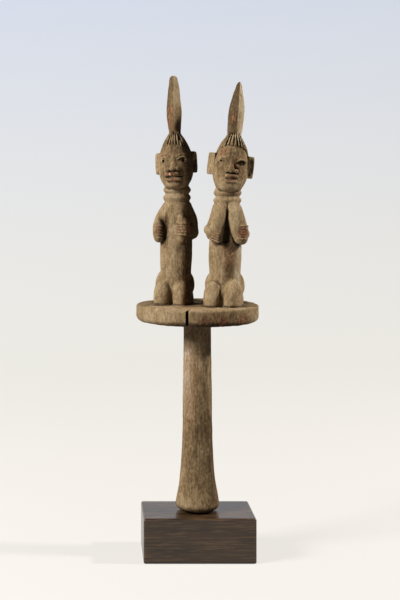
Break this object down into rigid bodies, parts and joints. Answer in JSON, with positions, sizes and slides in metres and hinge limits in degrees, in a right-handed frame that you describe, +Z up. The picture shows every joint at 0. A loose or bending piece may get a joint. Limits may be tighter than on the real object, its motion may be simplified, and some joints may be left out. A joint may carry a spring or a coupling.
{
  "type": "eshu dance staff",
  "caption": "Carved wooden dance staff: a kneeling pair with tall blade crests on a thick disc and a round handle, fixed upright on a dark wood block.",
  "frame": {"origin": "centre of the display block's underside, on the staff's axis", "axes": "+Z up along the staff; the carved faces look towards -Y; +X to a viewer's right"},
  "size_m": [0.112, 0.112, 0.4412],
  "materials": {
    "carved_wood": "old dry hardwood with a dusty grey-brown crust, rubbed reddish where it was handled",
    "stained_wood": "dark stained hardwood with a satin wax finish"
  },
  "bodies": {
    "root": {"carved_staff": "carved_wood", "base_block": "stained_wood"}
  },
  "joints": []
}
